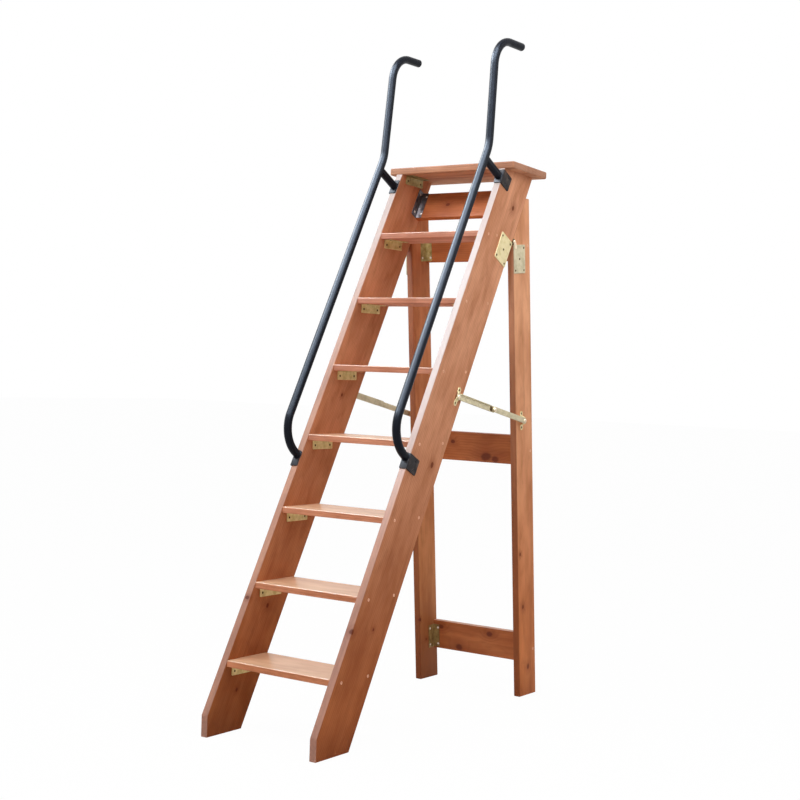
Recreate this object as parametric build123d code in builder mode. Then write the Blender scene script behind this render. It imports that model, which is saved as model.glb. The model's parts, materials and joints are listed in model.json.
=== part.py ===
from build123d import *
from math import atan2, cos, degrees, hypot, radians, sin, tan
import os

# A folding wooden step ladder: seven treads between two raked stringers, a
# small top board, two bent tube handrails and a pair of hinged back legs held
# open by folding stays. Millimetres. X runs across the ladder, Y from the front
# of the stringers to the back of the legs, Z up from the floor. The origin is
# on the floor, midway between the sides and midway between front and back.

# Layout
tread_count = 7
tread_rise = 230.0
first_tread_height = 223.0
top_rise = 237.0
inner_width = 396.0
stringer_angle = 62.2
leg_lean = 5.6
hinge_drop = 234.8

# Boards
stringer_width = 171.0
stringer_thickness = 24.0
nose_height = 66.0
nose_round = 16.0
tread_depth = 184.0
tread_thickness = 20.0
top_board_side_overhang = 33.5
top_board_setback = 5.0
top_board_depth = 228.0
top_board_thickness = 24.0
top_board_corner = 10.0
top_board_tilt = 2.4
leg_width = 111.0
leg_thickness = 24.0
leg_inset = 0.5
leg_tip_width = 14.0
rail_height = 104.0
rail_thickness = 20.0
bottom_rail_height = 110.0
middle_rail_height = 815.0
top_rail_drop = 55.0
back_rail_drop = 139.0
back_rail_setback = 4.0
board_round = 2.5

# Handrails
tube_diameter = 26.9
rail_offset = 105.5
rail_foot_distance = 902.0
rail_stub_drop = 27.0
rail_bend_rise = 50.0
rail_post_height = 361.5
right_post_lean = 3.5
left_post_lean = 7.1
right_hook_length = 162.0
left_hook_length = 142.0
foot_bend_radius = 100.0
post_bend_radius = 130.0
hook_bend_radius = 95.0
cap_length = 4.0
rail_plate_thickness = 4.0
rail_plate_width = 52.0
rail_plate_length = 52.0
lower_plate_drop = 13.0
left_rail_drop = 21.0

# Angle brackets
bracket_length = 104.0
bracket_leaf = 30.0
bracket_thickness = 2.0
bracket_setback = 22.0
leg_bracket_length = 84.0
leg_bracket_rise = 5.0

# Leg hinges
hinge_gap = 6.0
leaf_width = 73.0
leaf_length = 98.0
leaf_thickness = 2.5
leaf_drop = 10.0
front_leaf_setback = 4.0
hinge_pin_diameter = 8.0
hinge_eye_diameter = 17.0
hinge_head_diameter = 14.0
hinge_head_height = 2.5
pivot_clearance = 0.3

# Folding stays
stay_front_pivot_height = 1053.0
stay_front_pivot_inset = 34.0
stay_rear_pivot_height = 972.0
stay_rear_pivot_inset = 36.0
stay_front_share = 0.52
stay_strap_length = 66.0
stay_strap_width = 16.0
stay_strap_thickness = 2.0
stay_strap_top = 20.0
stay_strap_slope = 5.0
stay_pin_diameter = 6.0
stay_head_diameter = 14.0
stay_head_height = 2.5
front_link_stand_off = 6.0
front_link_width = 21.0
front_link_depth = 6.0
front_link_wall = 2.0
flange_start = 11.0
flange_end = 22.0
rear_link_width = 19.0
rear_link_thickness = 2.5
link_gap = 1.0

# Derived places in the side view, as (y, z)
rake = radians(stringer_angle)
lean = radians(leg_lean)
foot_length = stringer_width / sin(rake) - nose_height / tan(rake)
outer_side = inner_width / 2 + stringer_thickness
stringer_middle = inner_width / 2 + stringer_thickness / 2
leg_side = outer_side - leg_inset
leg_inner_side = leg_side - leg_thickness
top_height = first_tread_height + (tread_count - 1) * tread_rise + top_rise
stringer_top = top_height - top_board_thickness
board_tilt = radians(top_board_tilt)
pivot_height = stringer_top - hinge_drop
scarf_gap = hinge_gap / sin(rake)
pivot_reach = pivot_height / tan(rake) + pivot_height * tan(lean)
leg_foot_front = foot_length + scarf_gap + pivot_reach
leg_foot_length = leg_width / cos(lean)
footprint = leg_foot_front + leg_foot_length
nose_y = -footprint / 2


def front_edge(height):
    """Y of the stringer's front edge above its nose."""
    return nose_y + (height - nose_height) / tan(rake)


def rear_edge(height):
    """Y of the stringer's rear edge."""
    return nose_y + foot_length + height / tan(rake)


def leg_front(height):
    """Y of the leg's front face when the ladder stands open."""
    return nose_y + leg_foot_front - height * tan(lean)


def leg_rear(height):
    """Y of the leg's rear face when the ladder stands open."""
    return leg_front(height) + leg_foot_length


def wedge_edge(height):
    """Y of the scarf on the leg's top, parallel to the stringer."""
    return rear_edge(height) + scarf_gap


def from_nose(distance, offset):
    """Point at a distance up the stringer's front edge and an offset ahead of it."""
    y = nose_y + distance * cos(rake) - offset * sin(rake)
    z = nose_height + distance * sin(rake) + offset * cos(rake)
    return (y, z)


def turned(point, centre, angle):
    """A side-view point turned about a centre, in degrees from Y towards Z."""
    dy, dz = point[0] - centre[0], point[1] - centre[1]
    c, s = cos(radians(angle)), sin(radians(angle))
    return (centre[0] + c * dy - s * dz, centre[1] + s * dy + c * dz)


def side_plane(point, x, angle=0.0):
    """A plane facing +X at a side-view point, its first axis turned up from +Y."""
    direction = (0, cos(radians(angle)), sin(radians(angle)))
    return Plane(origin=(x, point[0], point[1]), x_dir=direction, z_dir=(1, 0, 0))


# The legs turn where the scarf meets the leg's front face
hinge_pivot = (leg_front(pivot_height), pivot_height)
fold_angle = 90.0 - stringer_angle + leg_lean

# The legs end in a narrow level cut above the scarf
scarf_room = leg_rear(0) - wedge_edge(0) - leg_tip_width
leg_top_height = scarf_room / (1 / tan(rake) + tan(lean))
leg_rail_bottoms = {
    "bottom": bottom_rail_height,
    "middle": middle_rail_height,
    "top": pivot_height - top_rail_drop,
}

# The stay's end pivots, and its middle pivot on the straight line between them
stay_front = (rear_edge(stay_front_pivot_height) - stay_front_pivot_inset, stay_front_pivot_height)
stay_rear = (leg_front(stay_rear_pivot_height) + stay_rear_pivot_inset, stay_rear_pivot_height)
stay_span = hypot(stay_rear[0] - stay_front[0], stay_rear[1] - stay_front[1])
stay_angle = degrees(atan2(stay_rear[1] - stay_front[1], stay_rear[0] - stay_front[0]))
front_link_length = stay_span * stay_front_share
rear_link_length = stay_span - front_link_length
stay_middle = (
    stay_front[0] + front_link_length * cos(radians(stay_angle)),
    stay_front[1] + front_link_length * sin(radians(stay_angle)),
)

# Layers of the stay, outwards from the wood
front_link_face = outer_side + front_link_stand_off
rear_link_face = front_link_face + front_link_depth + link_gap

os.makedirs("parts", exist_ok=True)


def save(part, name):
    part.label = name
    export_step(part, f"parts/{name}.step")


def save_pair(part, name, left_place=Location()):
    """Writes the right-hand piece and its mirror image on the left, which may
    then be shifted."""
    save(part, name.format("right"))
    save(left_place * mirror(part, about=Plane.YZ), name.format("left"))


raked_line = Axis((0, 0, 0), (0, cos(rake), sin(rake)))

# The underside of the top board, which slopes down a little to the back
top_board_front = front_edge(stringer_top) + top_board_setback
top_board_middle = top_board_front + top_board_depth / 2
board_slope = (0, -cos(board_tilt), sin(board_tilt))
underside = Plane(
    origin=(0, top_board_middle, stringer_top),
    x_dir=(1, 0, 0),
    z_dir=(0, sin(board_tilt), cos(board_tilt)),
)

# Stringers: raked boards with a plumb nose, a level foot and a top cut to the
# board that lies on it
with BuildPart() as stringer:
    with BuildSketch(Plane.YZ.offset(inner_width / 2)) as stringer_side:
        with BuildLine():
            Polyline(
                (nose_y, 0),
                (nose_y, nose_height),
                (front_edge(top_height), top_height),
                (rear_edge(top_height), top_height),
                (nose_y + foot_length, 0),
                close=True,
            )
        make_face()
        nose_corner = stringer_side.vertices().sort_by_distance((nose_y, nose_height, 0))[0]
        fillet(nose_corner, nose_round)
    extrude(amount=stringer_thickness)
    fillet(stringer.edges().filter_by(raked_line), board_round)
    split(bisect_by=underside, keep=Keep.BOTTOM)
save_pair(stringer.part, "stringer_{}")

# Treads: level boards across the stringers with plumb front faces
for index in range(tread_count):
    tread_top = first_tread_height + index * tread_rise
    tread_bottom = tread_top - tread_thickness
    with BuildPart() as tread:
        with BuildSketch(Plane.YZ):
            with Locations((front_edge(tread_top), tread_bottom)):
                Rectangle(tread_depth, tread_thickness, align=(Align.MIN, Align.MIN))
        extrude(amount=inner_width / 2, both=True)
        fillet(tread.edges().filter_by(Axis.X), board_round)
    save(tread.part, f"tread_{index + 1}")

# Top board
top_board_width = 2 * (outer_side + top_board_side_overhang)
with BuildPart() as top_board:
    with BuildSketch(underside):
        RectangleRounded(top_board_width, top_board_depth, top_board_corner)
    extrude(amount=top_board_thickness)
save(top_board.part, "top_board")

# Back rail between the stringers, on their rake
back_rail_bottom = stringer_top - back_rail_drop
back_rail_front = rear_edge(back_rail_bottom) - (back_rail_setback + rail_thickness) / sin(rake)
back_rail_foot = (back_rail_front, back_rail_bottom)
with BuildPart() as upper_back_rail:
    with BuildSketch(side_plane(back_rail_foot, 0, stringer_angle)):
        Rectangle(rail_height, rail_thickness, align=(Align.MIN, Align.MAX))
    extrude(amount=inner_width / 2, both=True)
    fillet(upper_back_rail.edges().filter_by(Axis.X), board_round)
save(upper_back_rail.part, "upper_back_rail")

# Handrails: one bent tube each, with a stub to the upper bracket and a cap that
# closes the hooked end. The left one is fixed a little lower on its stringer,
# and the two are bent by hand to slightly different angles
rail_stub_distance = (stringer_top - nose_height) / sin(rake) - rail_stub_drop
foot_point = from_nose(rail_foot_distance, rail_plate_thickness)
foot_corner = from_nose(rail_foot_distance, rail_offset)
stub_foot = from_nose(rail_stub_distance, rail_plate_thickness)
post_corner = from_nose(rail_stub_distance + rail_bend_rise, rail_offset)
rail_radii = [foot_bend_radius, post_bend_radius, hook_bend_radius]
stub_direction = (0, foot_corner[0] - foot_point[0], foot_corner[1] - foot_point[1])
left_rail_place = Pos(0, -left_rail_drop * cos(rake), -left_rail_drop * sin(rake))


def bent_rail(post_lean, hook_length):
    """A right-hand handrail, and the cap on its end."""
    hook_corner = (
        post_corner[0] + rail_post_height * tan(radians(post_lean)),
        post_corner[1] + rail_post_height,
    )
    hook_end = (hook_corner[0] + hook_length, hook_corner[1])
    with BuildPart() as rail:
        with BuildLine(Plane.YZ.offset(stringer_middle)) as path:
            rail_points = [foot_point, foot_corner, post_corner, hook_corner, hook_end]
            FilletPolyline(*rail_points, radius=rail_radii)
        with BuildSketch(Plane(origin=path.line @ 0, z_dir=path.line % 0)):
            Circle(tube_diameter / 2)
        sweep(path=path.line)
        with BuildSketch(Plane(origin=(stringer_middle, *stub_foot), z_dir=stub_direction)):
            Circle(tube_diameter / 2)
        extrude(amount=rail_offset - rail_plate_thickness)
    with BuildPart() as cap:
        end_face = Plane(origin=(stringer_middle, *hook_end), x_dir=(1, 0, 0), z_dir=(0, 1, 0))
        with BuildSketch(end_face):
            Circle(tube_diameter / 2)
        extrude(amount=cap_length)
    return rail.part, cap.part


right_rail, right_cap = bent_rail(right_post_lean, right_hook_length)
left_rail, left_cap = bent_rail(left_post_lean, left_hook_length)
save(right_rail, "handrail_right")
save(left_rail_place * mirror(left_rail, about=Plane.YZ), "handrail_left")
left_cap = left_rail_place * mirror(left_cap, about=Plane.YZ)
with BuildPart() as end_caps:
    add(right_cap)
    add(left_cap)
save(end_caps.part, "handrail_end_caps")

# Angle plates for the handrails: a flange on the stringer's front edge, which
# the tube ends on, and a leaf on the stringer's outer face
lower_plate_distance = rail_foot_distance - lower_plate_drop
for name, distance in (("upper", rail_stub_distance), ("lower", lower_plate_distance)):
    centre = from_nose(distance, 0)
    with BuildPart() as rail_bracket:
        with BuildSketch(side_plane(centre, outer_side, stringer_angle)):
            with Locations((0, rail_plate_thickness)):
                Rectangle(
                    rail_plate_length,
                    rail_plate_width + rail_plate_thickness,
                    align=(Align.CENTER, Align.MAX),
                )
        extrude(amount=rail_plate_thickness)
        with BuildSketch(side_plane(centre, inner_width / 2, stringer_angle)):
            Rectangle(rail_plate_length, rail_plate_thickness, align=(Align.CENTER, Align.MIN))
        extrude(amount=stringer_thickness)
    save_pair(rail_bracket.part, "handrail_" + name + "_bracket_{}", left_rail_place)


def angle_bracket(corner, length=bracket_length):
    """An equal angle bracket. Its heel runs along the plane's normal, and its
    leaves lie along the plane's two other axes."""
    with BuildPart() as bracket:
        with BuildSketch(corner):
            Rectangle(bracket_leaf, bracket_thickness, align=(Align.MIN, Align.MIN))
            Rectangle(bracket_thickness, bracket_leaf, align=(Align.MIN, Align.MIN))
        extrude(amount=length / 2, both=True)
    return bracket.part


# Brackets under the treads, against the stringers
with BuildPart() as tread_brackets:
    for index in range(tread_count):
        tread_top = first_tread_height + index * tread_rise
        heel_y = front_edge(tread_top) + bracket_setback + bracket_length / 2
        heel_origin = (inner_width / 2, heel_y, tread_top - tread_thickness)
        heel = Plane(origin=heel_origin, x_dir=(-1, 0, 0), z_dir=(0, -1, 0))
        add(angle_bracket(heel))
save_pair(tread_brackets.part, "tread_brackets_{}")

# Brackets under the top board
with BuildPart() as top_board_brackets:
    heel_y = top_board_front + bracket_setback + bracket_length / 2
    heel_height = stringer_top + (top_board_middle - heel_y) * tan(board_tilt)
    heel = Plane(origin=(inner_width / 2, heel_y, heel_height), x_dir=(-1, 0, 0), z_dir=board_slope)
    add(angle_bracket(heel))
    mirror(about=Plane.YZ)
save(top_board_brackets.part, "top_board_brackets")

# Brackets in front of the back rail, along its height
with BuildPart() as back_rail_brackets:
    heel_direction = (0, cos(rake), sin(rake))
    heel_origin = (
        inner_width / 2,
        back_rail_foot[0] + rail_height / 2 * cos(rake),
        back_rail_foot[1] + rail_height / 2 * sin(rake),
    )
    heel = Plane(origin=heel_origin, x_dir=(-1, 0, 0), z_dir=heel_direction)
    add(angle_bracket(heel))
    mirror(about=Plane.YZ)
save(back_rail_brackets.part, "back_rail_brackets")

leaning_line = Axis((0, 0, 0), (0, -sin(lean), cos(lean)))

# Back legs: boards with a scarfed top that clears the stringer
with BuildPart() as leg:
    with BuildSketch(Plane.YZ.offset(leg_inner_side)):
        with BuildLine():
            Polyline(
                (leg_front(0), 0),
                hinge_pivot,
                (wedge_edge(leg_top_height), leg_top_height),
                (leg_rear(leg_top_height), leg_top_height),
                (leg_rear(0), 0),
                close=True,
            )
        make_face()
    extrude(amount=leg_thickness)
    fillet(leg.edges().filter_by(leaning_line), board_round)
save_pair(leg.part, "leg_{}")

# Rails between the legs, flush with their rear faces
for name, rail_bottom in leg_rail_bottoms.items():
    rail_corner = (leg_rear(rail_bottom), rail_bottom)
    with BuildPart() as leg_rail:
        with BuildSketch(side_plane(rail_corner, 0, 90.0 + leg_lean)):
            Rectangle(rail_height, rail_thickness, align=(Align.MIN, Align.MIN))
        extrude(amount=leg_inner_side, both=True)
        fillet(leg_rail.edges().filter_by(Axis.X), board_round)
    save(leg_rail.part, f"leg_rail_{name}")

# Brackets in front of the leg rails
with BuildPart() as leg_rail_brackets:
    for rail_bottom in leg_rail_bottoms.values():
        bracket_height = rail_bottom + (leg_bracket_rise + leg_bracket_length / 2) * cos(lean)
        heel_y = leg_rear(bracket_height) - rail_thickness / cos(lean)
        heel = Plane(
            origin=(leg_inner_side, heel_y, bracket_height),
            x_dir=(-1, 0, 0),
            z_dir=(0, -sin(lean), cos(lean)),
        )
        add(angle_bracket(heel, leg_bracket_length))
save_pair(leg_rail_brackets.part, "leg_rail_brackets_{}")

# Leg hinges: a leaf on the stringer that carries the pin, and a leaf on the leg
# with an arm that turns on it
arm_face = outer_side + leaf_thickness + pivot_clearance
head_face = arm_face + leaf_thickness + pivot_clearance
with BuildPart() as front_leaf:
    with BuildSketch(side_plane((rear_edge(pivot_height), pivot_height), outer_side, stringer_angle)):
        with Locations((-leaf_drop, front_leaf_setback)):
            Rectangle(leaf_length, leaf_width, align=(Align.MAX, Align.MIN))
    with BuildSketch(side_plane(hinge_pivot, outer_side, stringer_angle)):
        Circle(hinge_eye_diameter / 2)
        with Locations((-hinge_eye_diameter / 2, hinge_gap + front_leaf_setback + hinge_eye_diameter / 2)):
            Circle(hinge_eye_diameter / 2)
        make_hull()
    extrude(amount=leaf_thickness)
    with BuildSketch(side_plane(hinge_pivot, outer_side + leaf_thickness)):
        Circle(hinge_pin_diameter / 2)
    extrude(amount=head_face - outer_side - leaf_thickness)
    with BuildSketch(side_plane(hinge_pivot, head_face)):
        Circle(hinge_head_diameter / 2)
    extrude(amount=hinge_head_height)
save_pair(front_leaf.part, "hinge_{}_front_leaf")

leaf_top = pivot_height - leaf_drop
with BuildPart() as rear_leaf:
    with BuildSketch(side_plane((leg_front(leaf_top), leaf_top), leg_side, 90.0 + leg_lean)):
        Rectangle(leaf_length, leaf_width, align=(Align.MAX, Align.MAX))
    extrude(amount=arm_face - leg_side)
    with BuildSketch(side_plane(hinge_pivot, arm_face)):
        Circle(hinge_eye_diameter / 2)
        with Locations((hinge_eye_diameter / 2, -leaf_drop - hinge_eye_diameter / 2)):
            Circle(hinge_eye_diameter / 2)
        make_hull()
        Circle(hinge_pin_diameter / 2 + pivot_clearance, mode=Mode.SUBTRACT)
    extrude(amount=leaf_thickness)
save_pair(rear_leaf.part, "hinge_{}_rear_leaf")


def stay_bracket(pivot, angle, wood_face, link_face, link_thickness):
    """A strap bent out from the wood between two ears, with a rivet for the link."""
    height = link_face - pivot_clearance - wood_face
    top = stay_strap_top / 2
    foot = top + stay_strap_slope
    wall = stay_strap_thickness
    end = stay_strap_length / 2
    along = (0, cos(radians(angle)), sin(radians(angle)))
    across = (0, sin(radians(angle)), -cos(radians(angle)))
    strap_side = Plane(origin=(wood_face, *pivot), x_dir=along, z_dir=across)
    rivet_head = link_face + link_thickness + pivot_clearance
    with BuildPart() as bracket:
        with BuildSketch(strap_side):
            with BuildLine():
                Polyline(
                    (-end, 0),
                    (-foot + wall, 0),
                    (-top + wall, height - wall),
                    (top - wall, height - wall),
                    (foot - wall, 0),
                    (end, 0),
                    (end, wall),
                    (foot, wall),
                    (top, height),
                    (-top, height),
                    (-foot, wall),
                    (-end, wall),
                    close=True,
                )
            make_face()
        extrude(amount=stay_strap_width / 2, both=True)
        with BuildSketch(side_plane(pivot, wood_face, angle)):
            SlotOverall(stay_strap_length, stay_strap_width)
        extrude(amount=height, mode=Mode.INTERSECT)
        with BuildSketch(side_plane(pivot, wood_face + height)):
            Circle(stay_pin_diameter / 2)
        extrude(amount=rivet_head - wood_face - height)
        with BuildSketch(side_plane(pivot, rivet_head)):
            Circle(stay_head_diameter / 2)
        extrude(amount=stay_head_height)
    return bracket.part


save_pair(
    stay_bracket(stay_front, stringer_angle, outer_side, front_link_face, front_link_wall),
    "stay_{}_front_bracket",
)
save_pair(
    stay_bracket(stay_rear, 90.0 + leg_lean, leg_side, rear_link_face, rear_link_thickness),
    "stay_{}_rear_bracket",
)

# Front link: a channel open outwards, its flanges cut short of the two pivots
flange_length = front_link_length - flange_start - flange_end
flange_middle = flange_start + flange_length / 2
flange_across = (front_link_width - front_link_wall) / 2
with BuildPart() as front_link:
    with BuildSketch(side_plane(stay_front, front_link_face, stay_angle)):
        with Locations((front_link_length / 2, 0)):
            SlotCenterToCenter(front_link_length, front_link_width)
        Circle(stay_pin_diameter / 2 + pivot_clearance, mode=Mode.SUBTRACT)
    extrude(amount=front_link_wall)
    with BuildSketch(side_plane(stay_front, front_link_face + front_link_wall, stay_angle)):
        with Locations((flange_middle, flange_across), (flange_middle, -flange_across)):
            Rectangle(flange_length, front_link_wall)
        with Locations((front_link_length, 0)):
            Circle(stay_pin_diameter / 2)
    extrude(amount=front_link_depth - front_link_wall)
save_pair(front_link.part, "stay_{}_front_link")

# Rear link: a flat bar over the front link's end, with the middle rivet's head
with BuildPart() as rear_link:
    with BuildSketch(side_plane(stay_middle, rear_link_face, stay_angle)):
        with Locations((rear_link_length / 2, 0)):
            SlotCenterToCenter(rear_link_length, rear_link_width)
        with Locations((rear_link_length, 0)):
            Circle(stay_pin_diameter / 2 + pivot_clearance, mode=Mode.SUBTRACT)
    extrude(amount=rear_link_thickness)
    with BuildSketch(side_plane(stay_middle, rear_link_face + rear_link_thickness)):
        Circle(stay_head_diameter / 2)
    extrude(amount=stay_head_height)
save_pair(rear_link.part, "stay_{}_rear_link")

# The stay's turns between open and folded
folded_rear = turned(stay_rear, hinge_pivot, -fold_angle)
folded_span = hypot(folded_rear[0] - stay_front[0], folded_rear[1] - stay_front[1])
folded_direction = degrees(atan2(folded_rear[1] - stay_front[1], folded_rear[0] - stay_front[0]))
middle_along = (folded_span**2 + front_link_length**2 - rear_link_length**2) / (2 * folded_span)
middle_across = (front_link_length**2 - middle_along**2) ** 0.5
front_folded = folded_direction + degrees(atan2(middle_across, middle_along))
rear_folded = folded_direction - degrees(atan2(middle_across, folded_span - middle_along))
front_turn = front_folded - stay_angle
rear_turn = rear_folded - stay_angle + fold_angle

print("hinge pivot", [round(value, 3) for value in hinge_pivot], "fold", round(fold_angle, 3))
print("stay front pivot", [round(value, 3) for value in stay_front], "turn", round(front_turn, 3))
print("stay rear pivot", [round(value, 3) for value in stay_rear], "turn", round(rear_turn, 3))
print("link lengths", round(front_link_length, 2), round(rear_link_length, 2))
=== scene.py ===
import json
from contextlib import contextmanager
from math import cos, radians, sin, tan

import bmesh
import bpy
from mathutils import Matrix, Vector


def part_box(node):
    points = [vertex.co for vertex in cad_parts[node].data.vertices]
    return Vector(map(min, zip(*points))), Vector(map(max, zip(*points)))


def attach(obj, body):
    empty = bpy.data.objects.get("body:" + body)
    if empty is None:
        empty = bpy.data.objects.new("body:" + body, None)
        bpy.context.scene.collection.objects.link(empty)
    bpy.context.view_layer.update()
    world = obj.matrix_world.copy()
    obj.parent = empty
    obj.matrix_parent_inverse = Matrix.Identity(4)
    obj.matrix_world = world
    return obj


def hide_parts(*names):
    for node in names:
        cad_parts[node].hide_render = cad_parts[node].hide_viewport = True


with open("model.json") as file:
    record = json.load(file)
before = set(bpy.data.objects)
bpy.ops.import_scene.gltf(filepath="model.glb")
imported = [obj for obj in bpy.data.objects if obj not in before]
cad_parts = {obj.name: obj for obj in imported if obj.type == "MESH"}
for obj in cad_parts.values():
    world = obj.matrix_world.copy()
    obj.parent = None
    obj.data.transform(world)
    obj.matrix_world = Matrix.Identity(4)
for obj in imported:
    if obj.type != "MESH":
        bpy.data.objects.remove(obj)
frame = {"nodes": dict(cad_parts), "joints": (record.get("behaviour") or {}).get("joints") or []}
bpy.ops.object.select_all(action="DESELECT")
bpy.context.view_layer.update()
nodes = frame["nodes"]

MM = 0.001
ACROSS = Vector((1, 0, 0))
BACK = Vector((0, 1, 0))
UP = Vector((0, 0, 1))

# Places read from the solids
steps_low, steps_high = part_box("stringer_right")
outer_side = steps_high.x
inner_side = steps_low.x
stringer_middle = (outer_side + inner_side) / 2
nose_y = steps_low.y
leg_low, leg_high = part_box("leg_right")
leg_side = leg_high.x
leg_inner_side = leg_low.x
pivots = {joint["name"]: Vector(joint["pos_m"]) for joint in frame["joints"]}

# The slopes and sizes of the boards, as in the solids
rake_degrees = 62.2
rake = radians(rake_degrees)
lean = radians(5.6)
board_tilt = radians(2.4)
nose_height = 66 * MM
stringer_width = 171 * MM
stringer_top = 1816 * MM
leg_width = 111 * MM
rail_height = 104 * MM
rail_thickness = 20 * MM
board_depth = 228 * MM
board_thickness = 24 * MM
board_setback = 5 * MM
back_rail_drop = 139 * MM
back_rail_inset = 4 * MM
tread_numbers = range(1, 8)
raked = Vector((0, cos(rake), sin(rake)))
raked_out = Vector((0, -sin(rake), cos(rake)))
leaning = Vector((0, -sin(lean), cos(lean)))
leaning_out = Vector((0, cos(lean), sin(lean)))


def front_edge(height):
    """Y of the stringers' front edge at a height."""
    return nose_y + (height - nose_height) / tan(rake)


def rear_edge(height):
    """Y of the stringers' rear edge at a height."""
    return front_edge(height) + stringer_width / sin(rake)


def leg_rear(height):
    """Y of the legs' rear face at a height."""
    return leg_high.y - height * tan(lean)


def from_nose(distance, offset):
    """A side-view point up the stringers' front edge and out from it."""
    return Vector((0, nose_y, nose_height)) + raked * distance + raked_out * offset


# Shaders


class Value:
    """A number inside a shading, which adds up as a Python value does."""

    def __init__(self, shading, socket):
        self.shading = shading
        self.socket = socket

    def math(self, operation, *others):
        values = dict(enumerate((self, *others)))
        node = self.shading.node("ShaderNodeMath", {"operation": operation}, values)
        return Value(self.shading, node.outputs[0])

    def __add__(self, other):
        return self.math("ADD", other)

    def __sub__(self, other):
        return self.math("SUBTRACT", other)

    def __mul__(self, other):
        return self.math("MULTIPLY", other)

    def __truediv__(self, other):
        return self.math("DIVIDE", other)

    def __rsub__(self, other):
        return self.math("MULTIPLY_ADD", -1.0, other)

    __radd__ = __add__

    def soft_step(self, low, high):
        """0 below low, 1 above high, and smooth between."""
        settings = {"interpolation_type": "SMOOTHSTEP"}
        node = self.shading.node("ShaderNodeMapRange", settings, {"Value": self, 1: low, 2: high})
        return Value(self.shading, node.outputs[0])


def highest(values):
    """The highest of several values at each point."""
    top = values[0]
    for value in values[1:]:
        top = top.math("MAXIMUM", value)
    return top


class Shading:
    """The nodes of a material or of the world."""

    def __init__(self, tree):
        self.tree = tree

    def node(self, kind, settings=None, values=None):
        """A node of a type, with its settings, then the values or links of its sockets."""
        node = self.tree.nodes.new(kind)
        for name, value in (settings or {}).items():
            setattr(node, name, value)
        for name, value in (values or {}).items():
            self.link(node, name, value)
        return node

    def link(self, node, name, value):
        """Sets a node's socket to a value, or links it to one."""
        value = value.socket if isinstance(value, Value) else value
        if isinstance(value, bpy.types.NodeSocket):
            self.tree.links.new(value, node.inputs[name])
        else:
            node.inputs[name].default_value = value

    def seen_directly(self):
        """1 where the camera sees a point, also through glass or in a mirror, and 0 for other light."""
        paths = self.node("ShaderNodeLightPath")
        rays = ("Is Camera Ray", "Is Glossy Ray", "Is Transmission Ray")
        return highest([Value(self, paths.outputs[ray]) for ray in rays])


class Finish(Shading):
    """A material whose surface is one Principled shader."""

    def __init__(self, name):
        self.material = bpy.data.materials.new(name)
        self.material.use_nodes = True
        super().__init__(self.material.node_tree)
        self.surface = self.tree.nodes["Principled BSDF"]
        self.place = self.node("ShaderNodeTexCoord").outputs["Object"]

    def feed(self, **values):
        """Sets the surface's sockets, named with an underscore for each space."""
        for name, value in values.items():
            self.link(self.surface, name.replace("_", " "), value)

    def along(self, direction):
        """How far a point lies along a direction, in metres."""
        node = self.node("ShaderNodeVectorMath", {"operation": "DOT_PRODUCT"}, {0: self.place, 1: direction})
        return Value(self, node.outputs["Value"])

    def point(self, x, y, z):
        return self.node("ShaderNodeCombineXYZ", None, {0: x, 1: y, 2: z}).outputs[0]

    def noise(self, vector, scale, detail, roughness=0.5):
        values = {"Vector": vector, "Scale": scale, "Detail": detail, "Roughness": roughness}
        return Value(self, self.node("ShaderNodeTexNoise", None, values).outputs[0])

    def mix(self, share, first, second, blend="MIX"):
        """A colour between two colours."""
        settings = {"data_type": "RGBA", "blend_type": blend}
        node = self.node("ShaderNodeMix", settings, {0: share, 6: first, 7: second})
        return node.outputs[2]

    def bump(self, height, distance):
        values = {"Height": height, "Distance": distance, "Strength": 1.0}
        return self.node("ShaderNodeBump", None, values).outputs[0]


def shade(red, green, blue):
    """A colour as it shows on a screen, out of 255, made linear."""
    channels = []
    for channel in (red, green, blue):
        share = channel / 255
        channels.append(share / 12.92 if share <= 0.04045 else ((share + 0.055) / 1.055) ** 2.4)
    return (*channels, 1.0)


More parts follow.
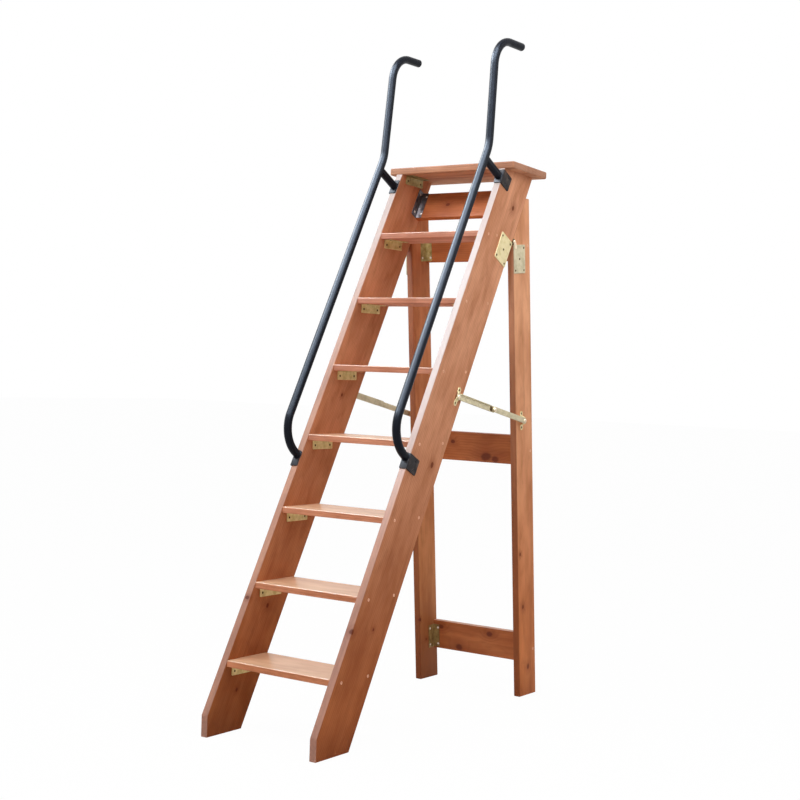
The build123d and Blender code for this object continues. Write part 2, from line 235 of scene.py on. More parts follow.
def stained_wood(
    name, grain, face, seed, low, high, knots=(), edge=None, varnished=None, dark_foot=(0.13, 0.15)
):
    """Orange-brown stained softwood whose grain runs along one direction and whose
    wide faces look along another. It fades from the low tone near the floor to the
    high tone further up; where the two differ, that change is painted light and shade.
    A knot is (place, radius). Tinted edges are (direction and place of each, tint, low
    and high share, heights between which the share changes, how patchy they are); they
    are painted highlights with some wear on the stringers and treads, a painted
    highlight on the leg rails, painted shade on the legs' fronts and darker end grain
    on the top board. A varnished side is (direction, place, gloss). The foot is darker
    up to a height, by a least share."""
    ring_spacing = 7.4 * MM
    ring_waver = 22 * MM
    pith_shift = 30 * MM * sin(seed * 7.0)
    pith_distance = 55 * MM
    knot_push = 11 * MM
    finish = Finish(name)
    side = grain.cross(face)
    along = finish.along(grain)
    across = finish.along(side)
    depth = finish.along(face)

    def drawn_out(start, length_scale, cross_scale, detail, roughness=0.5):
        """Noise that is stretched along the grain."""
        point = finish.point(along * length_scale + start, across * cross_scale, depth * cross_scale)
        return finish.noise(point, 1.0, detail, roughness)

    waver = (drawn_out(seed, 2.3, 5.0, 2.0) - 0.5) * ring_waver
    blots = drawn_out(seed * 3.1, 4.2, 13.0, 3.0, 0.6)
    cloud = drawn_out(seed, 16.0, 42.0, 3.0, 0.62)
    fibre = drawn_out(seed, 9.0, 620.0, 3.0, 0.6)
    streak = drawn_out(seed, 1.4, 60.0, 2.0)

    # The rings lie round a pith beside the board and run round the knots
    cores = []
    halos = []
    for place, radius in knots:
        here = (along - place.dot(grain)) * 0.75
        there = across - place.dot(side)
        deeper = (depth - place.dot(face)) * 0.6
        gap = (here * here + there * there + deeper * deeper).math("SQRT")
        gap = gap + (cloud - 0.5) * radius * 0.9
        cores.append(1.0 - gap.soft_step(radius * 0.6, radius * 1.25))
        halos.append(1.0 - gap.soft_step(radius * 0.8, radius * 4.0))
    pith_across = across + waver + pith_shift
    pith_depth = depth * 0.9 + pith_distance + waver * 0.4
    ring = (pith_across * pith_across + pith_depth * pith_depth).math("SQRT")
    if knots:
        core = highest(cores)
        halo = highest(halos)
        ring = ring + halo * knot_push
    phase = (ring / ring_spacing + (blots - 0.5) * 0.9).math("FRACT")
    late = phase.soft_step(0.3, 0.86) * (1.0 - phase.soft_step(0.9, 1.0))

    # The stain with its painted shade by height, then what darkens it, from the rings to the darkening at the
    # foot
    rise = finish.along(UP).soft_step(0.05, 1.3)
    stain_and_shade = finish.mix(rise, shade(*low), shade(*high))
    pale = finish.mix(1.0, stain_and_shade, (1.15, 1.2, 1.27, 1.0), "MULTIPLY")
    deep = finish.mix(1.0, stain_and_shade, (0.8, 0.72, 0.66, 1.0), "MULTIPLY")
    dark = finish.mix(1.0, stain_and_shade, (0.42, 0.32, 0.26, 1.0), "MULTIPLY")
    colour = finish.mix(blots.soft_step(0.28, 0.74), pale, deep)
    colour = finish.mix(late * 0.2, colour, dark)
    colour = finish.mix(streak.soft_step(0.45, 0.78) * 0.2, colour, dark)
    colour = finish.mix(cloud.soft_step(0.5, 0.78) * 0.28, colour, dark)
    colour = finish.mix((1.0 - fibre.soft_step(0.3, 0.6)) * 0.12, colour, dark)
    # Darker towards the foot, up to a height
    dark_foot_height, dark_foot_share = dark_foot
    near_foot = 1.0 - finish.along(UP).soft_step(0.0, dark_foot_height)
    colour = finish.mix(near_foot * (blots * 0.5 + dark_foot_share), colour, dark)
    if edge:
        sides, tint, shares, heights, patchy = edge
        reaches = [finish.along(direction) - place.dot(direction) for direction, place in sides]
        on_edge = highest([reach.soft_step(-3 * MM, -0.5 * MM) for reach in reaches])
        low_share, high_share = shares
        share = finish.along(UP).soft_step(*heights) * (high_share - low_share) + low_share
        colour = finish.mix(on_edge * share * (0.95 + patchy * 0.5 - blots * patchy), colour, tint)
    if knots:
        colour = finish.mix(halo * 0.35, colour, shade(124, 58, 30))
        colour = finish.mix(core * 0.8, colour, shade(96, 40, 22))
    coat = 0.1
    if varnished:
        direction, place, gloss = varnished
        reach = finish.along(direction) - place.dot(direction)
        coat = reach.soft_step(-3 * MM, -1 * MM) * (1.0 - cloud * 0.25) * gloss
    relief = fibre * 0.6 + late * 0.5 + streak * 0.3
    finish.feed(
        Base_Color=colour,
        Roughness=0.62 + fibre * 0.16 + late * 0.05,
        Specular_IOR_Level=0.06,
        Coat_Weight=coat,
        Coat_Roughness=0.22,
        Coat_IOR=1.45,
        Normal=finish.bump(relief, 0.3 * MM),
    )
    return finish.material


def plated(name, pale, deep, roughness, metal):
    """Zinc plate, clouded and slightly brushed."""
    finish = Finish(name)
    cloud = finish.noise(finish.place, 52.0, 3.0, 0.6)
    speck = finish.noise(finish.place, 700.0, 3.0, 0.7)
    colour = finish.mix(cloud.soft_step(0.35, 0.72), pale, deep)
    colour = finish.mix(speck.soft_step(0.55, 0.75) * 0.2, colour, deep)
    finish.feed(
        Base_Color=colour,
        Metallic=metal,
        Specular_IOR_Level=0.2,
        Roughness=roughness + cloud * 0.12 + speck * 0.08,
        Normal=finish.bump(speck + cloud, 0.08 * MM),
    )
    return finish.material


def coated(name, colour, worn, roughness, grain, wear):
    """A dark coat with the fine skin of powder paint, rubbed here and there."""
    finish = Finish(name)
    skin = finish.noise(finish.place, grain, 2.0, 0.6)
    lightening = finish.noise(finish.place, 34.0, 4.0, 0.62)
    lightened = finish.mix(lightening.soft_step(0.5, 0.74) * wear, colour, worn)
    finish.feed(
        Base_Color=lightened,
        Roughness=roughness + lightening * 0.1,
        Specular_IOR_Level=0.09,
        Specular_Tint=(0.85, 0.92, 1.0, 1.0),
        Normal=finish.bump(skin, 0.06 * MM),
    )
    return finish.material


yellow_zinc = plated("yellow_zinc", shade(230, 214, 168), shade(212, 194, 142), 0.42, 0.22)
grey_zinc = plated("grey_zinc", shade(206, 194, 162), shade(184, 172, 142), 0.42, 0.4)
# A darker, duller copy of the zinc for the top board's and leg rails' brackets: painted shade
painted_shade_zinc = plated("painted_shade_zinc", shade(176, 156, 104), shade(132, 112, 66), 0.38, 0.5)
gold_zinc = plated("gold_zinc", shade(222, 198, 140), shade(192, 166, 106), 0.42, 0.35)
# The galvanised back rail brackets take a dark zinc: painted shade
painted_shade_galvanised = plated("painted_shade_galvanised", shade(112, 106, 106), shade(72, 66, 68), 0.28, 0.7)
rivet_steel = plated("rivet_steel", shade(240, 222, 196), shade(224, 200, 168), 0.3, 0.3)
pale_steel = plated("pale_steel", shade(255, 246, 236), shade(246, 230, 216), 0.4, 0.1)
tan_steel = plated("tan_steel", shade(234, 182, 150), shade(206, 150, 116), 0.42, 0.25)
# A still darker, browner copy of the zinc for the bottom rail's brackets: painted shade
painted_deep_shade_zinc = plated("painted_deep_shade_zinc", shade(156, 128, 78), shade(112, 86, 48), 0.42, 0.35)
# A dark steel for the bracket screws, the hinge's neck and eye and the plate in the stay's channel: painted
# shade
painted_shade_steel = plated("painted_shade_steel", shade(104, 82, 48), shade(70, 54, 32), 0.5, 0.2)
tube_coat = coated("tube_coat", shade(18, 20, 28), shade(36, 39, 50), 0.26, 900.0, 0.2)
plate_coat = coated("plate_coat", shade(46, 42, 42), shade(100, 84, 75), 0.42, 500.0, 0.6)
black_plastic = coated("black_plastic", shade(30, 30, 32), shade(44, 44, 46), 0.4, 600.0, 0.2)

# Modelling
smooth_angle = radians(35)
near = 0.1 * MM
# A bevel of the whole half width would fold, so a round end takes a little less
round_end = 0.999


def choose(piece):
    """Selects one piece alone and makes it active."""
    bpy.ops.object.select_all(action="DESELECT")
    piece.select_set(True)
    bpy.context.view_layer.objects.active = piece


@contextmanager
def editing(piece):
    """Edit mode on one piece alone."""
    choose(piece)
    bpy.ops.object.mode_set(mode="EDIT")
    yield
    bpy.ops.object.mode_set(mode="OBJECT")


def pick(piece, kind, wanted):
    """Selects the faces, edges or corners whose place and direction pass a test."""
    bpy.ops.mesh.select_mode(type=kind)
    bpy.ops.mesh.select_all(action="DESELECT")
    mesh = bmesh.from_edit_mesh(piece.data)
    if kind == "FACE":
        for face in mesh.faces:
            face.select_set(bool(wanted(face.calc_center_median(), face.normal)))
    if kind == "EDGE":
        for edge in mesh.edges:
            low, high = (corner.co for corner in edge.verts)
            edge.select_set(bool(wanted((low + high) / 2, (high - low).normalized())))
    if kind == "VERT":
        for corner in mesh.verts:
            corner.select_set(bool(wanted(corner.co, corner.normal)))
    mesh.select_flush_mode()
    bmesh.update_edit_mesh(piece.data)


def push(x, y, z):
    """Extrudes what is picked along a vector."""
    bpy.ops.mesh.extrude_region_move(TRANSFORM_OT_translate={"value": (x, y, z)})


def shift(x, y, z):
    """Moves what is picked along a vector."""
    bpy.ops.transform.translate(value=(x, y, z))


def named(name):
    """The primitive just added, under a name."""
    piece = bpy.context.object
    piece.name = name
    piece.data.name = name
    return piece


def block(name, low, high):
    """A box between two corners."""
    low, high = Vector(low), Vector(high)
    bpy.ops.mesh.primitive_cube_add(size=1, location=(low + high) / 2)
    piece = named(name)
    piece.scale = high - low
    bpy.ops.object.transform_apply(location=True, rotation=True, scale=True)
    return piece


def disc(name, radius, low, high, sides=32):
    """A round bar that stands on Z between two heights."""
    middle = (0, 0, (low + high) / 2)
    bpy.ops.mesh.primitive_cylinder_add(vertices=sides, radius=radius, depth=high - low, location=middle)
    piece = named(name)
    bpy.ops.object.transform_apply(location=True, rotation=True, scale=True)
    return piece


def plate(name, length, width, thickness, corner, segments):
    """A flat plate on the XY plane with round corners."""
    piece = block(name, (-length / 2, -width / 2, 0), (length / 2, width / 2, thickness))
    with editing(piece):
        pick(piece, "EDGE", lambda middle, way: abs(way.z) > 0.9)
        bpy.ops.mesh.bevel(offset=corner, segments=segments, affect="EDGES")
    return piece


def modify(piece, kind, **settings):
    """Adds a modifier and applies it."""
    choose(piece)
    modifier = piece.modifiers.new(kind.lower(), kind)
    for name, value in settings.items():
        setattr(modifier, name, value)
    bpy.ops.object.modifier_apply(modifier=modifier.name)


def cut(piece, cutter):
    """Takes a cutter's shape out of a piece."""
    modify(piece, "BOOLEAN", operation="DIFFERENCE", solver="EXACT", object=cutter)
    bpy.data.objects.remove(cutter)


def fuse(piece, other):
    """Makes two pieces one solid."""
    modify(piece, "BOOLEAN", operation="UNION", solver="EXACT", object=other)
    bpy.data.objects.remove(other)


def soften(piece, width, segments=2):
    """Rounds the sharp edges and shades the round ones smooth."""
    modify(piece, "BEVEL", width=width, segments=segments, limit_method="ANGLE", angle_limit=smooth_angle)
    bpy.ops.object.shade_smooth_by_angle(angle=smooth_angle)


def seat(piece, place):
    """Moves a piece to its place, with its object left at the origin."""
    choose(piece)
    piece.matrix_world = place
    bpy.ops.object.transform_apply(location=True, rotation=True, scale=True)
    return piece


def place_at(origin, x_axis, y_axis):
    """The place of a piece from its origin and two of its axes."""
    z_axis = x_axis.cross(y_axis)
    turn = Matrix((x_axis, y_axis, z_axis)).transposed().to_4x4()
    return Matrix.Translation(origin) @ turn


def facing(origin, normal):
    """The place of a piece whose Z looks along a normal."""
    return Matrix.Translation(origin) @ Vector(normal).to_track_quat("Z", "Y").to_matrix().to_4x4()


def again(piece, name):
    """A copy of a piece with its own mesh."""
    copy = piece.copy()
    copy.data = piece.data.copy()
    copy.name = name
    copy.data.name = name
    bpy.context.collection.objects.link(copy)
    return copy


def join(name, pieces):
    """Several pieces as one object."""
    bpy.ops.object.select_all(action="DESELECT")
    for piece in pieces:
        piece.select_set(True)
    bpy.context.view_layer.objects.active = pieces[0]
    bpy.ops.object.join()
    return named(name)


def mirrored(piece, name, offset=Vector((0, 0, 0))):
    """The left-hand copy of a right-hand piece."""
    copy = again(piece, name)
    seat(copy, Matrix.Translation(offset) @ Matrix.Diagonal((-1, 1, 1, 1)))
    with editing(copy):
        bpy.ops.mesh.select_all(action="SELECT")
        bpy.ops.mesh.normals_make_consistent(inside=False)
    return copy


def paint(piece, material):
    """Gives a piece one material."""
    piece.data.materials.clear()
    piece.data.materials.append(material)
    return piece


def fit(piece, body, slot, *solids):
    """Hangs a finished piece on its body, in the place of its solids."""
    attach(piece, body)
    if solids:
        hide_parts(*solids)


def screw_head(name, radius, material):
    """A countersunk screw head with a cross slot. Its face is at the origin."""
    head = disc(name, radius, -1.2 * MM, 0.1 * MM, 24)
    with editing(head):
        pick(head, "FACE", lambda middle, way: way.z > 0.9)
        bpy.ops.mesh.inset(thickness=radius * 0.32)
        shift(0, 0, 0.28 * MM)
        bpy.ops.mesh.inset(thickness=radius * 0.3)
        shift(0, 0, 0.1 * MM)
    arm, half = radius * 0.56, 0.55 * MM
    slot = block("slot", (-arm, -half, -0.7 * MM), (arm, half, 1 * MM))
    fuse(slot, block("slot_across", (-half, -arm, -0.7 * MM), (half, arm, 1 * MM)))
    cut(head, slot)
    choose(head)
    bpy.ops.object.shade_smooth_by_angle(angle=radians(30))
    return paint(head, material)


def dome(name, radius, height):
    """A low round rivet head on the XY plane."""
    bpy.ops.mesh.primitive_uv_sphere_add(segments=32, ring_count=16, radius=1)
    piece = named(name)
    with editing(piece):
        bpy.ops.mesh.select_all(action="SELECT")
        bpy.ops.mesh.bisect(plane_co=(0, 0, 0), plane_no=(0, 0, 1), clear_inner=True, use_fill=True)
    piece.scale = (radius, radius, height)
    bpy.ops.object.transform_apply(location=True, rotation=True, scale=True)
    bpy.ops.object.shade_smooth_by_angle(angle=smooth_angle)
    return piece


# The bracket screws take the dark steel: painted shade of dark holes
bracket_screw = screw_head("bracket_screw", 3.7 * MM, painted_shade_steel)
bright_screw = screw_head("bright_screw", 3.9 * MM, pale_steel)
wood_screw = screw_head("wood_screw", 4.8 * MM, tan_steel)


def screwed(piece, spots, thickness, screw=bracket_screw):
    """Drills countersunk holes at the spots and puts a screw in each."""
    sunk_depth = 0.25 * MM
    cutters = []
    heads = []
    for origin, normal in spots:
        bpy.ops.mesh.primitive_cone_add(
            vertices=24,
            radius1=2.4 * MM,
            radius2=4.9 * MM,
            depth=thickness + 1 * MM,
            location=(0, 0, -thickness / 2),
        )
        cutters.append(seat(named("countersink"), facing(origin, normal) @ bpy.context.object.matrix_world))
        sunk = Vector(origin) - Vector(normal) * sunk_depth
        heads.append(seat(again(screw, "screw"), facing(sunk, normal)))
    cut(piece, join("countersinks", cutters))
    return heads


# Boards: the stringers, treads and rails keep the solids' shape, and the top board is modelled


def dress(name, material):
    """Gives a solid a material and leaves its shape alone."""
    mesh = nodes[name].data
    mesh.materials.clear()
    mesh.materials.append(material)


back_rail_bottom = stringer_top - back_rail_drop
back_rail_front = rear_edge(back_rail_bottom) - (back_rail_inset + rail_thickness) / sin(rake)
back_rail_middle = Vector((0, back_rail_front, back_rail_bottom)) + raked * rail_height / 2


def in_stringer(height, back, x=0.0):
    """A place in a stringer, from its height and how far it lies behind the front edge."""
    return Vector((x, front_edge(height) + back, height))


right_knots = [
    (in_stringer(0.350, 0.112, 0.222), 0.004),
    (in_stringer(0.356, 0.003, 0.221), 0.007),
    (in_stringer(0.836, 0.142, 0.222), 0.008),
    (in_stringer(1.694, 0.130, 0.222), 0.008),
]
left_knots = [
    (in_stringer(0.125, 0.100, -0.198), 0.005),
    (in_stringer(0.372, 0.105, -0.198), 0.006),
    (in_stringer(0.406, 0.000, -0.208), 0.005),
    (in_stringer(1.042, 0.104, -0.198), 0.005),
]
# A pale tint for the stringers' front edges and nose, stronger further up: a painted highlight, with some
# wear
lightened = shade(222, 204, 196)
# The usual heights between which an edge's share changes
up_the_ladder = (0.5, 1.75)
front = (raked_out, in_stringer(0, 0))
nose = (-BACK, Vector((0, nose_y, 0)))
# The low tones are darker than the high ones: painted shade, darker towards the floor
for hand, seed, low_tone, high_tone, knots, shares, heights, gloss in (
    ("right", 1.7, (163, 91, 50), (212, 149, 112), right_knots, (0.22, 1.0), (0.6, 1.3), 0.12),
    ("left", 4.1, (168, 98, 54), (206, 138, 98), left_knots, (0.22, 1.0), (1.0, 1.85), 0.04),
):
    wood = stained_wood(
        f"wood_stringer_{hand}",
        raked,
        ACROSS,
        seed,
        low_tone,
        high_tone,
        knots,
        ((front, nose), lightened, shares, heights, 0.4),
        (*front, gloss),
    )
    dress(f"stringer_{hand}", wood)
# Each tread is a little paler than the one below
for number in tread_numbers:
    low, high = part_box(f"tread_{number}")
    seed = 20 + 5.3 * number
    tone = (206 + number, 132 + number * 2, 90 + number * 4)
    # The paler top of each tread is painted light from above, with some wear
    worn_and_lit_top = (((UP, high),), shade(250, 214, 172), (0.55, 0.5), up_the_ladder, 1.1)
    varnish = (UP, high, 0.6)
    wood = stained_wood(
        f"wood_tread_{number}", ACROSS, UP, seed, tone, tone, edge=worn_and_lit_top, varnished=varnish
    )
    dress(f"tread_{number}", wood)
board_up = Vector((0, sin(board_tilt), cos(board_tilt)))
board_low, board_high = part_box("top_board")
board_face = Vector((0, board_low.y, board_high.z))
tone = (205, 146, 111)
board_ends = ((ACROSS, board_high), (-ACROSS, board_low))
end_grain = (board_ends, shade(150, 114, 98), (0.5, 0.5), up_the_ladder, 0.4)
varnish = (board_up, board_face, 0.4)
board_back = Vector((0, cos(board_tilt), -sin(board_tilt)))
board_middle = front_edge(stringer_top) + board_setback + board_depth / 2
board = plate("board_top", board_high.x - board_low.x, board_depth, board_thickness, 10 * MM, 6)
soften(board, 4.5 * MM, 4)
seat(board, place_at(Vector((0, board_middle, stringer_top)), ACROSS, board_back))
wood = stained_wood("wood_top_board", ACROSS, board_up, 63.1, tone, tone, edge=end_grain, varnished=varnish)
paint(board, wood)
fit(board, "steps", "stained_wood", "top_board")
swirl = [(back_rail_middle + ACROSS * -0.077, 0.006)]
tone = (190, 112, 66)
dress("upper_back_rail", stained_wood("wood_back_rail", ACROSS, raked_out, 71.9, tone, tone, swirl))
rail_knots = {
    "bottom": ((-0.166, 0.190, 0.009), (-0.088, 0.124, 0.011), (0.044, 0.190, 0.010)),
    "middle": ((0.042, 0.834, 0.016), (0.080, 0.826, 0.012), (-0.098, 0.880, 0.007)),
    "top": (),
}
for number, (place, spots) in enumerate(rail_knots.items()):
    low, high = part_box(f"leg_rail_{place}")
    knots = []
    for x, height, radius in spots:
        knots.append((Vector((x, leg_rear(height) - rail_thickness, height)), radius))
    seed = 80 + 3.7 * number
    tone = (182, 106, 60)
    # A pale band along each rail's top side, strongest on the bottom rail: a painted highlight
    lightening = 1.0 if place == "bottom" else 0.3
    top_side = (leaning, Vector((0, low.y, high.z)))
    painted_top_highlight = ((top_side,), shade(250, 220, 200), (lightening, lightening), up_the_ladder, 0.4)
    wood = stained_wood(f"wood_leg_rail_{place}", ACROSS, leaning_out, seed, tone, tone, knots, painted_top_highlight)
    dress(f"leg_rail_{place}", wood)

# Legs, whose scarf lies closer to the stringer than the solid's
scarf_gap = 1 * MM
spare_depth = 0.2


def in_leg(height, back, x):
    """A place in a leg, from its height and how far it lies before the rear face."""
    return Vector((x, leg_rear(height) - back, height))


right_leg_knots = [
    (in_leg(0.101, 0.052, leg_side), 0.008),
    (in_leg(0.318, 0.081, leg_side), 0.007),
    (in_leg(0.505, 0.095, leg_side), 0.005),
]
left_leg_knots = [
    (in_leg(0.222, 0.108, -leg_inner_side), 0.005),
    (in_leg(0.145, 0.073, -leg_inner_side), 0.004),
]
leg = block(
    "board_leg_right",
    (leg_inner_side, leg_low.y - spare_depth, 0),
    (leg_side, leg_high.y, leg_high.z),
)
leg_foot_front = leg_high.y - leg_width / cos(lean)
scarf_foot = rear_edge(0) + scarf_gap / sin(rake)
for foot, outward in ((leg_high.y, leaning_out), (leg_foot_front, -leaning_out), (scarf_foot, raked_out)):
    with editing(leg):
        bpy.ops.mesh.select_all(action="SELECT")
        bpy.ops.mesh.bisect(plane_co=(0, foot, 0), plane_no=outward, clear_outer=True, use_fill=True)
soften(leg, 2.5 * MM, 3)
left_leg = mirrored(leg, "board_leg_left")
leg_front = (-leaning_out, Vector((0, leg_foot_front, 0)))
# The legs' front faces are darkened, most near the floor: painted shade
painted_shade_front = ((leg_front,), shade(122, 60, 28), (0.8, 0.35), (0.6, 1.75), 0.4)
# The legs' tones change with height: painted light and shade
right_tones = (204, 122, 70), (226, 162, 120)
left_tones = (214, 142, 90), (199, 124, 80)
wood = stained_wood("wood_leg_right", leaning, ACROSS, 8.3, *right_tones, right_leg_knots, painted_shade_front)
paint(leg, wood)
# The left leg is much darker at its foot, up to half a metre
wood = stained_wood(
    "wood_leg_left", leaning, ACROSS, 12.9, *left_tones, left_leg_knots, painted_shade_front, dark_foot=(0.5, 0.75)
)
paint(left_leg, wood)
fit(leg, "legs", "stained_wood", "leg_right")
fit(left_leg, "legs", "stained_wood", "leg_left")

# Angle brackets


def angle_plate(name, length, leaf_x, leaf_y, thickness, tip_round, heel_round):
    """Bent plate with its heel on Z and its leaves along X and Y."""
    half = length / 2
    piece = block(name, (0, 0, -half), (thickness, thickness, half))
    with editing(piece):
        pick(piece, "FACE", lambda middle, way: way.x > 0.9)
        push(leaf_x - thickness, 0, 0)
        pick(piece, "FACE", lambda middle, way: way.y > 0.9 and middle.x < thickness)
        push(0, leaf_y - thickness, 0)
        pick(piece, "EDGE", lambda middle, way: abs(way.z) > 0.9 and middle.x + middle.y < near)
        bpy.ops.mesh.bevel(offset=heel_round, segments=4, affect="EDGES")
        pick(
            piece,
            "EDGE",
            lambda middle, way: (abs(way.y) > 0.9 and middle.x > leaf_x - near)
            or (abs(way.x) > 0.9 and middle.y > leaf_y - near),
        )
        bpy.ops.mesh.bevel(offset=tip_round, segments=4, affect="EDGES")
    return piece


long_length = 104 * MM
short_length = 84 * MM
even_leaf = (30 * MM, 17 * MM)
narrow_leaf = (24 * MM, 19 * MM)
wide_leaf = (36 * MM, 27 * MM)


def angle_bracket(name, length, hole_spacing, material, screw, leaf_x=even_leaf, leaf_y=even_leaf):
    """An angle bracket with two screws in each leaf. A leaf is (width, reach of its screws)."""
    width_x, reach_x = leaf_x
    width_y, reach_y = leaf_y
    thickness = 2 * MM
    piece = angle_plate(name, length, width_x, width_y, thickness, 3 * MM, 1.6 * MM)
    spots = []
    for side in (-1, 1):
        spots.append(((reach_x, thickness, side * hole_spacing / 2), BACK))
        spots.append(((thickness, reach_y, side * hole_spacing / 2), ACROSS))
    heads = screwed(piece, spots, thickness, screw)
    soften(piece, 0.35 * MM)
    paint(piece, material)
    return join(name, [piece, *heads])


tread_bracket = angle_bracket("tread_bracket", long_length, 78 * MM, gold_zinc, bracket_screw)
board_bracket = angle_bracket("board_bracket", long_length, 78 * MM, painted_shade_zinc, bracket_screw)
short_bracket = angle_bracket(
    "short_bracket", short_length, 60 * MM, painted_shade_zinc, bright_screw, narrow_leaf, wide_leaf
)
galvanised_bracket = angle_bracket(
    "galvanised_bracket", long_length, 72 * MM, painted_shade_galvanised, bright_screw, narrow_leaf, even_leaf
)
bracket_setback = 22 * MM
rail_bracket_setback = 5 * MM

for hand, side in (("left", -1), ("right", 1)):
    inwards = ACROSS * -side
    at_stringer = ACROSS * side * inner_side
    at_leg = ACROSS * side * leg_inner_side
    tread_set = []
    for number in tread_numbers:
        low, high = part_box(f"tread_{number}")
        heel = at_stringer + BACK * (low.y + bracket_setback + long_length / 2) + UP * low.z
        copy = again(tread_bracket, "bracket")
        tread_set.append(seat(copy, place_at(heel, inwards, -UP)))
    tread_set = join(f"angle_brackets_treads_{hand}", tread_set)
    fit(tread_set, "steps", "zinc_plate", f"tread_brackets_{hand}")
    rail_set = []
    for place in rail_knots:
        low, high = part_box(f"leg_rail_{place}")
        height = low.z + (rail_bracket_setback + short_length / 2) * cos(lean)
        heel = at_leg + BACK * (leg_rear(height) - rail_thickness / cos(lean)) + UP * height
        copy = again(short_bracket, "bracket")
        # The bottom rail's bracket takes the darkest zinc: painted shade
        if place == "bottom":
            copy.data.materials[0] = painted_deep_shade_zinc
        rail_set.append(seat(copy, place_at(heel, inwards, -leaning_out)))
    rail_set = join(f"angle_brackets_leg_rails_{hand}", rail_set)
    fit(rail_set, "legs", "zinc_plate", f"leg_rail_brackets_{hand}")

top_set = []
back_set = []
board_down = Vector((0, -sin(board_tilt), -cos(board_tilt)))
heel_y = board_middle - board_depth / 2 + bracket_setback + long_length / 2
heel_height = stringer_top + (board_middle - heel_y) * tan(board_tilt)
for side in (-1, 1):
    heel = Vector((side * inner_side, heel_y, heel_height))
    top_set.append(seat(again(board_bracket, "bracket"), place_at(heel, ACROSS * -side, board_down)))
    heel = back_rail_middle + ACROSS * side * inner_side
    copy = again(galvanised_bracket, "bracket")
    back_set.append(seat(copy, place_at(heel, ACROSS * -side, raked_out)))
fit(join("angle_brackets_top_board", top_set), "steps", "zinc_plate", "top_board_brackets")
fit(join("angle_brackets_back_rail", back_set), "steps", "galvanised_steel", "back_rail_brackets")
for pattern in (tread_bracket, board_bracket, short_bracket, galvanised_bracket):
    bpy.data.objects.remove(pattern)

# Handrails
tube_radius = 13.45 * MM
rail_offset = 105.5 * MM
plate_thickness = 4 * MM
foot_distance = 902 * MM
stub_from_head = 27 * MM
stub_distance = (stringer_top - nose_height) / sin(rake) - stub_from_head
bend_past_stub = 50 * MM
post_rise = 361.5 * MM
left_rail_shift = raked * -21 * MM
shoe_length, shoe_width, shoe_lap = 52 * MM, 56 * MM, 28 * MM
shoe_below_foot = 13 * MM
shoe_screw_reach = 38 * MM
shoe_screw_spacing = 30 * MM


def bent_tube(name, start, ahead, runs):
    """A tube from a start and a heading, through (run, bend angle, bend radius). It comes
    with the place and heading of its end."""
    bpy.ops.mesh.primitive_circle_add(vertices=40, radius=tube_radius)
    tube = seat(named(name), facing(start, ahead))
    here = start.copy()
    with editing(tube):
        bpy.ops.mesh.select_all(action="SELECT")
        for run, angle, radius in runs:
            push(*(ahead * run))
            here += ahead * run
            if not angle:
                continue
            turn = Matrix.Rotation(radians(angle), 3, "X")
            inside = Matrix.Rotation(radians(90 if angle > 0 else -90), 3, "X") @ ahead
            centre = here + inside * radius
            steps = max(6, int(abs(angle) / 4))
            bpy.ops.mesh.spin(steps=steps, angle=radians(-angle), center=centre, axis=ACROSS)
            here = centre + turn @ (here - centre)
            ahead = turn @ ahead
        bpy.ops.mesh.select_all(action="SELECT")
        bpy.ops.mesh.remove_doubles(threshold=0.01 * MM)
        bpy.ops.mesh.fill_holes(sides=64)
        bpy.ops.mesh.normals_make_consistent(inside=False)
    return tube, here, ahead


def weld(place):
    """A bead of weld round the foot of a tube."""
    bpy.ops.mesh.primitive_torus_add(
        major_radius=tube_radius,
        minor_radius=2.2 * MM,
        major_segments=40,
        minor_segments=10,
    )
    bead = seat(named("weld"), place)
    bpy.ops.object.shade_smooth()
    return bead


def handrail(hand, post_lean, hook_length, offset=None):
    """A handrail of bent tube with a welded stub, and the plug in its end. The left one is
    modelled on the right, mirrored and moved by an offset."""
    side = ACROSS * stringer_middle
    foot = from_nose(foot_distance, plate_thickness) + side
    post_bend = 90 - rake_degrees - post_lean
    foot_radius, post_radius, hook_radius = 100 * MM, 130 * MM, 95 * MM
    post_cut = post_radius * tan(radians(post_bend) / 2)
    hook_cut = hook_radius * tan(radians(90 - post_lean) / 2)
    slope_run = stub_distance + bend_past_stub - foot_distance - foot_radius - post_cut
    post_run = post_rise / cos(radians(post_lean)) - post_cut - hook_cut
    runs = [
        (rail_offset - plate_thickness - foot_radius, -90, foot_radius),
        (slope_run, post_bend, post_radius),
        (post_run, post_lean - 90, hook_radius),
        (hook_length - hook_cut, 0, 0),
    ]
    tube, end, ahead = bent_tube(f"bent_rail_{hand}", foot, raked_out, runs)
    stub_foot = from_nose(stub_distance, plate_thickness) + side
    stub = seat(disc("stub", tube_radius, 0, rail_offset - plate_thickness, 40), facing(stub_foot, raked_out))
    fuse(tube, stub)
    choose(tube)
    bpy.ops.object.shade_smooth_by_angle(angle=smooth_angle)
    beads = [weld(facing(point, raked_out)) for point in (foot, stub_foot)]
    rail = paint(join(f"bent_rail_{hand}", [tube, *beads]), tube_coat)
    plug = disc(f"plug_{hand}", tube_radius, 0, 4 * MM, 40)
    with editing(plug):
        pick(plug, "FACE", lambda middle, way: way.z > 0.9)
        bpy.ops.mesh.inset(thickness=2.5 * MM)
        shift(0, 0, 0.6 * MM)
    soften(plug, 0.8 * MM, 3)
    paint(seat(plug, facing(end, ahead)), black_plastic)
    if offset is None:
        return rail, plug
    pieces = [mirrored(rail, rail.name, offset), mirrored(plug, plug.name, offset)]
    for old in (rail, plug):
        bpy.data.objects.remove(old)
    for piece, name in zip(pieces, (f"bent_rail_{hand}", f"plug_{hand}")):
        piece.name = name
    return pieces


